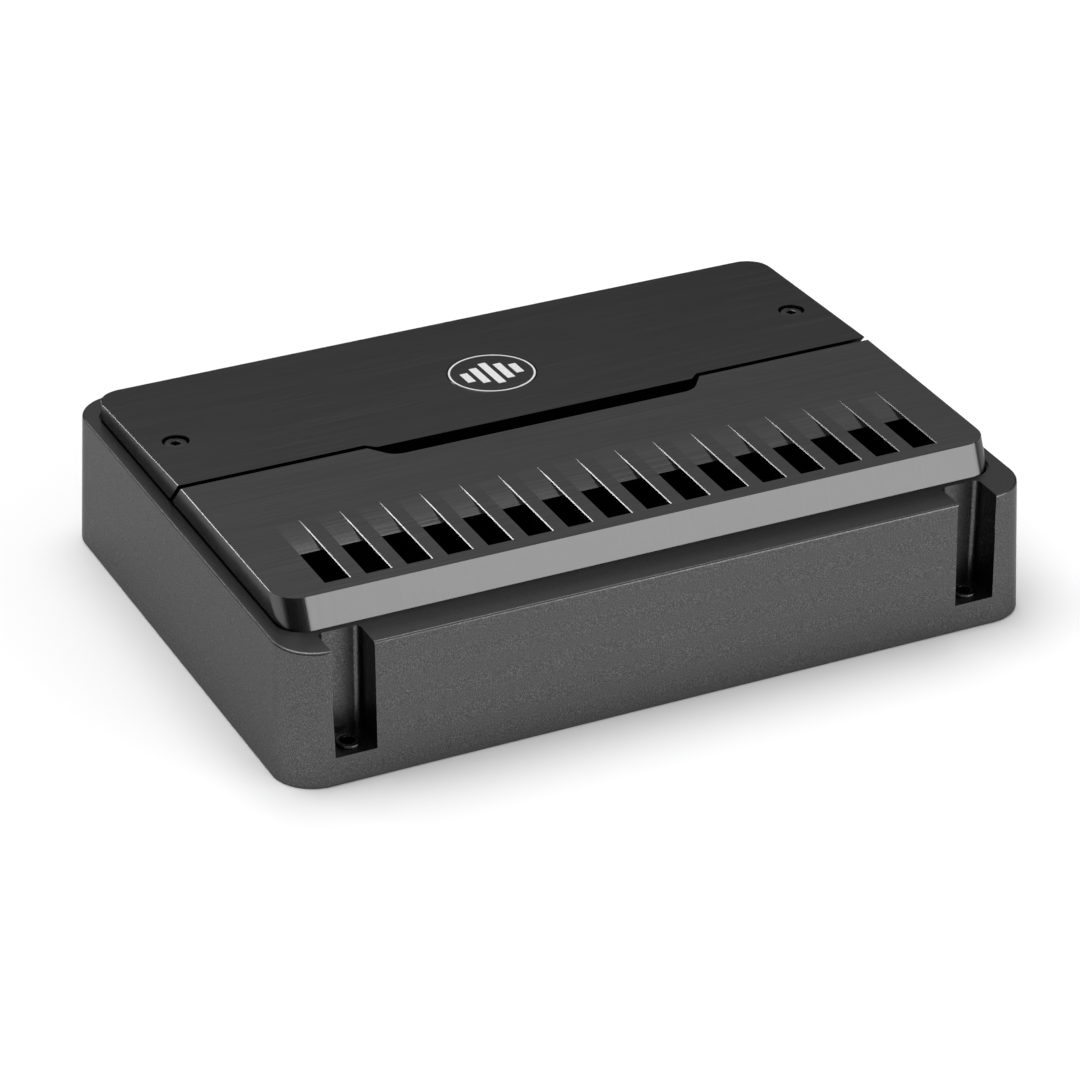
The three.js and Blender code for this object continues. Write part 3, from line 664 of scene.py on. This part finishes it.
def jack_contacts():
    """Four sprung wires in the floor of the jack."""
    bm = bmesh.new()
    for step in range(4):
        x = JACK_X + (step - 1.5) * 1.3
        block(bm, x - 0.22, x + 0.22, 71.2, 79, 18.5, 18.8)
    finish_piece(bm, "jack_contacts", "chassis", [NICKEL])


def status_light():
    """A small domed lens above the jack."""
    bm = bmesh.new()
    angles = [math.radians(degrees) for degrees in range(0, 90, 15)]
    dome = [(1.5 * math.cos(angle), 2.1 + 1.3 * math.sin(angle)) for angle in angles]
    turn(bm, [(0, -4), (1.5, -4), *dome, (0, 3.4)], (JACK_X, 80, LIGHT_Z), along="y")
    finish_piece(bm, "status_light_lens", "chassis", [LENS], ["status_light"])


def panel_screws():
    """Small screws that hold the connection panel, in its upper and lower corners."""
    bm = bmesh.new()
    for x in (-87, 87):
        for z in (8.5, 34.5):
            turn(bm, [
                (0, 0), (2.1, 0), (2.1, 0.5), (1.8, 0.9), (1.2, 1.1),
                (0.8, 1.12, hexagon), (0.75, 0.5, hexagon), (0, 0.45),
            ], (x, PANEL_FACE_Y, z), sides=36, along="y")
    finish_piece(bm, "panel_screws", "chassis", [BLACK_STEEL])


# ---------------------------------------------------------------- controls

def adjuster(name, x):
    """A knurled cap with a screwdriver slot, on the stem of its potentiometer."""
    stem, cap = 2.9, 4.6
    bm = bmesh.new()
    turn(bm, [
        (0, -8.5), (stem, -8.5), (stem, 1.7), (cap - 0.3, 1.7), (cap, 1.95, fluted), (cap, 3.2, fluted),
        (cap - 0.45, 3.7), (1, 3.7, slit), (1, 2.7, slit), (0, 2.7),
    ], (x, KNOB_Y, CONTROL_Z), sides=72)
    finish_piece(bm, f"slotted_{name}", name, [GREY_PLASTIC], [name])


def dial_print():
    """Plain tick marks printed round each adjuster and beside each switch."""
    bm = bmesh.new()
    low, high = PRINT_Z - 0.02, PRINT_Z + 0.03
    for x in KNOB_XS:
        for step in range(11):
            out, side = ray(math.radians(-50 + 28 * step))
            centre = Vector((x, KNOB_Y))
            near, far, half = 5.4, 6.4 if step % 5 else 6.9, 0.14
            corners = [
                centre + out * near - side * half, centre + out * far - side * half,
                centre + out * far + side * half, centre + out * near + side * half,
            ]
            plate(bm, [tuple(corner) for corner in corners], low, high)
    for x in SWITCH_XS:
        for side in (-1, 1):
            middle_x = x + side * 3.2
            block(bm, middle_x - 0.15, middle_x + 0.15, SWITCH_Y + 2.6, SWITCH_Y + 4.2, low, high)
    finish_piece(bm, "dial_marks", "chassis", [WHITE_PLASTIC])


# ---------------------------------------------------------------- electronics

def winding(name, centre, ring, tube, turns):
    """A ring wound with wire: the tube swells at each of its turns."""
    x, y = centre
    bm = bmesh.new()
    around, section = turns * 4, 20
    rings = []
    for step in range(around):
        angle = math.tau * step / around
        swell = tube - 0.3 * (1 - math.cos(turns * angle))
        points = []
        for index in range(section):
            tilt = math.tau * index / section
            reach = ring + swell * math.cos(tilt)
            height = BOARD_TOP + tube + swell * math.sin(tilt)
            place = (x + reach * math.cos(angle), y + reach * math.sin(angle), height)
            points.append(bm.verts.new(Vector(place) * MM))
        rings.append(points)
    for step in range(around):
        first, second = rings[step - 1], rings[step]
        for index in range(section):
            bm.faces.new((first[index - 1], first[index], second[index], second[index - 1]))
    finish_piece(bm, f"wound_{name}", "chassis", [COPPER], [name])


def capacitor(name, x):
    """A can in a shrink sleeve, with a bare top pressed in three lines."""
    radius, height, lid = 8, 20, 19.75
    bm = bmesh.new()
    turn(bm, [
        (0, 0), (radius - 0.4, 0), (radius - 0.4, 1.6), (radius, 2.2), (radius, height - 0.5),
        (radius - 0.3, height - 0.12), (radius - 0.8, height), (radius - 1.1, lid), (0, lid),
    ], (x, CAPACITOR_Y, BOARD_TOP))
    for face in bm.faces:
        if face.calc_center_median().z > (BOARD_TOP + lid - 0.05) * MM:
            face.material_index = 1
    centre, top = Vector((x, CAPACITOR_Y)), BOARD_TOP + lid
    for degrees in (0, 60, 120):
        out, side = ray(math.radians(degrees))
        corners = [centre + out * a * 5.6 + side * b * 0.2 for a, b in ((-1, -1), (1, -1), (1, 1), (-1, 1))]
        plate(bm, [tuple(corner) for corner in corners], top - 0.1, top + 0.1)
    finish_piece(bm, f"sleeved_{name}", "chassis", [SLEEVE, ZINC], [name])


def module_legs():
    """Flat legs that come out of the power modules and bend down to the board."""
    half, thickness = 0.5, 0.6
    root_y, outer_y, top = -35.8, -33.4, 22.6
    bm = bmesh.new()
    for x in MODULE_XS:
        for step in range(9):
            x0, x1 = x - 16 + step * 4 - half, x - 16 + step * 4 + half
            block(bm, x0, x1, root_y, outer_y, top - thickness, top)
            block(bm, x0, x1, outer_y - thickness, outer_y, BOARD_TOP - 0.1, top)
    finish_piece(bm, "module_legs", "chassis", [NICKEL])


def small_parts():
    """Chips, resistors and small cans, set out in rows on the main board."""
    chooser = random.Random(7)
    chips, cans = bmesh.new(), bmesh.new()
    for row in range(3):
        for column in range(9):
            x, y = -36 + column * 12, 29 + row * 9
            wide, deep, tall = (chooser.uniform(*span) for span in ((1.6, 3.6), (1, 2.6), (0.6, 1.6)))
            block(chips, x - wide, x + wide, y - deep, y + deep, BOARD_TOP - 0.05, BOARD_TOP + tall)
    round_edges(chips, 0.15 * MM, 1, lambda edge: True)
    finish_piece(chips, "board_chips", "chassis", [BLACK_PLASTIC])
    for column in range(6):
        x = -36 + column * 15
        turn(cans, [(0, 0), (2.5, 0), (2.5, 5.6), (2.2, 6), (0, 6)], (x, -14, BOARD_TOP), sides=32)
    finish_piece(cans, "board_cans", "chassis", [ZINC])


# ---------------------------------------------------------------- camera, floor and light

def make_camera():
    """A long lens from the front left and above, aimed by its angles down, to the right and of roll."""
    down, right, roll = (math.radians(CAMERA[key]) for key in ("down", "right", "roll"))
    forward = Vector((math.sin(right) * math.cos(down), math.cos(right) * math.cos(down), -math.sin(down)))
    level = Vector((math.cos(right), -math.sin(right), 0))
    upright = level.cross(forward)
    x_axis = level * math.cos(roll) + upright * math.sin(roll)
    y_axis = -level * math.sin(roll) + upright * math.cos(roll)
    camera = bpy.data.objects.new("camera", bpy.data.cameras.new("camera"))
    camera.data.lens = CAMERA["lens"]
    camera.data.clip_end = 20
    rotation = Matrix((x_axis, y_axis, -forward)).transposed()
    camera.matrix_world = Matrix.Translation(CAMERA["place"]) @ rotation.to_4x4()
    bpy.context.scene.collection.objects.link(camera)
    bpy.context.scene.camera = camera


def make_floor():
    """A wide level sheet under the part."""
    bm = bmesh.new()
    bmesh.ops.create_grid(bm, x_segments=4, y_segments=4, size=4.0)
    mesh = bpy.data.meshes.new("floor")
    bm.to_mesh(mesh)
    bm.free()
    mesh.materials.append(floor_paint())
    floor = bpy.data.objects.new("floor", mesh)
    bpy.context.scene.collection.objects.link(floor)


def area_light(name, place, target, size, power):
    """A soft light at place, facing target, in metres and watts."""
    data = bpy.data.lights.new(name, "AREA")
    data.shape = "RECTANGLE"
    data.size, data.size_y = size
    data.energy = power
    light = bpy.data.objects.new(name, data)
    light.location = place
    light.rotation_mode = "QUATERNION"
    light.rotation_quaternion = (Vector(target) - Vector(place)).to_track_quat("-Z", "Y")
    bpy.context.scene.collection.objects.link(light)


def make_lights():
    """A grey dome that is the same below as above and dark at the horizon, and three soft lights."""
    world = bpy.data.worlds.new("studio")
    bpy.context.scene.world = world
    world.use_nodes = True
    tree = world.node_tree
    direction = tree.nodes.new("ShaderNodeTexCoord").outputs["Generated"]
    split = tree.nodes.new("ShaderNodeSeparateXYZ")
    tree.links.new(direction, split.inputs["Vector"])
    ramp = tree.nodes.new("ShaderNodeValToRGB")
    height = tree.nodes.new("ShaderNodeMath")
    height.operation = "ABSOLUTE"
    tree.links.new(split.outputs["Z"], height.inputs[0])
    tree.links.new(height.outputs[0], ramp.inputs["Fac"])
    elements = ramp.color_ramp.elements
    while len(elements) < len(SKY):
        elements.new(0.5)
    for element, (place, level) in zip(elements, SKY):
        element.position = place
        element.color = grey(level)
    tree.links.new(ramp.outputs["Color"], tree.nodes["Background"].inputs["Color"])
    bpy.context.scene.view_settings.view_transform = "Standard"
    area_light("front_soft", (1.35, -1.85, 0.6), (0, 0, 0.03), (2.3, 1.2), 31)
    area_light("back_left_strip", (-1.1, 1.8, 0.87), (0, 0, 0.05), (0.3, 0.4), 3.5)
    area_light("overhead", (-0.22, 0.45, 2.0), (0, 0, 0), (2.2, 1.7), 37)


# ---------------------------------------------------------------- assembly

# The CAD nodes that stay: their material, and how far their edges are rounded, in millimetres.
KEPT = {
    "bottom_plate": (BLACK_STEEL, 0.2),
    "connection_panel": (BLACK_PLASTIC, 0.25),
    "power_terminal_block": (BLACK_PLASTIC, 0.35),
    "speaker_terminal_block": (BLACK_PLASTIC, 0.35),
    "rca_housing": (BLACK_PLASTIC, 0.3),
    "remote_level_jack": (BLACK_PLASTIC, 0.2),
    "control_panel": (BLACK_STEEL, 0.2),
    "control_board": (BOARD, 0.1),
    "potentiometer": (BLACK_PLASTIC, 0.3),
    "switch_slider": (WHITE_PLASTIC, 0.2),
    "switch_body": (ZINC, 0.3),
    # The heatsink is near black: black anodising with painted shade.
    "heatsink": (INNER_ANODISED_AND_SHADE, 0.2),
    "main_board": (BOARD, 0.1),
    "thermal_pad": (PAD, 0.0),
    "power_module": (BLACK_PLASTIC, 0.4),
    "module_clamp_bar": (ZINC, 0.3),
}


def connections():
    """The terminals' screws and wire plates, and what stands on the connection panel."""
    for kind, sizes in TERMINALS.items():
        for number, x in enumerate(sizes["xs"], 1):
            clamp_screw(f"{kind}_clamp_screw_{number}", kind, x)
        wire_plates(kind)
    finishes = [(WHITE_PLASTIC, "white_plastic"), (BLACK_PLASTIC, "black_plastic")]
    for number, x in enumerate(RCA_XS, 1):
        phono_socket(f"rca_socket_{number}", x, finishes[(number - 1) % 2])
    jack_contacts()
    status_light()
    panel_screws()


def electronics():
    """What stands on the main board."""
    winding("power_transformer", (-70, 5), ring=18, tube=9, turns=44)
    winding("input_choke", (78, 30), ring=11, tube=6, turns=28)
    for number, x in enumerate(CAPACITOR_XS, 1):
        capacitor(f"capacitor_{number}", x)
    module_legs()
    small_parts()


make_camera()
make_floor()
make_lights()
chassis()
vent_cover()
access_cover()
emblem()
cover_screw("cover_screw_left", -1)
cover_screw("cover_screw_right", 1)
for number, (x, y) in enumerate(BASE_SCREWS, 1):
    base_screw(f"bottom_screw_{number}", x, y)
for end, y in HOLE_YS.items():
    eyelet(f"mounting_eyelet_{end}_left", -CHANNEL_X, y)
    eyelet(f"mounting_eyelet_{end}_right", CHANNEL_X, y)
connections()
for number, x in enumerate(KNOB_XS, 1):
    adjuster(f"adjuster_knob_{number}", x)
dial_print()
electronics()
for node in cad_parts:
    kind = node.rstrip("_0123456789")
    if kind in KEPT:
        material, width = KEPT[kind]
        keep_node(node, material, width * MM)
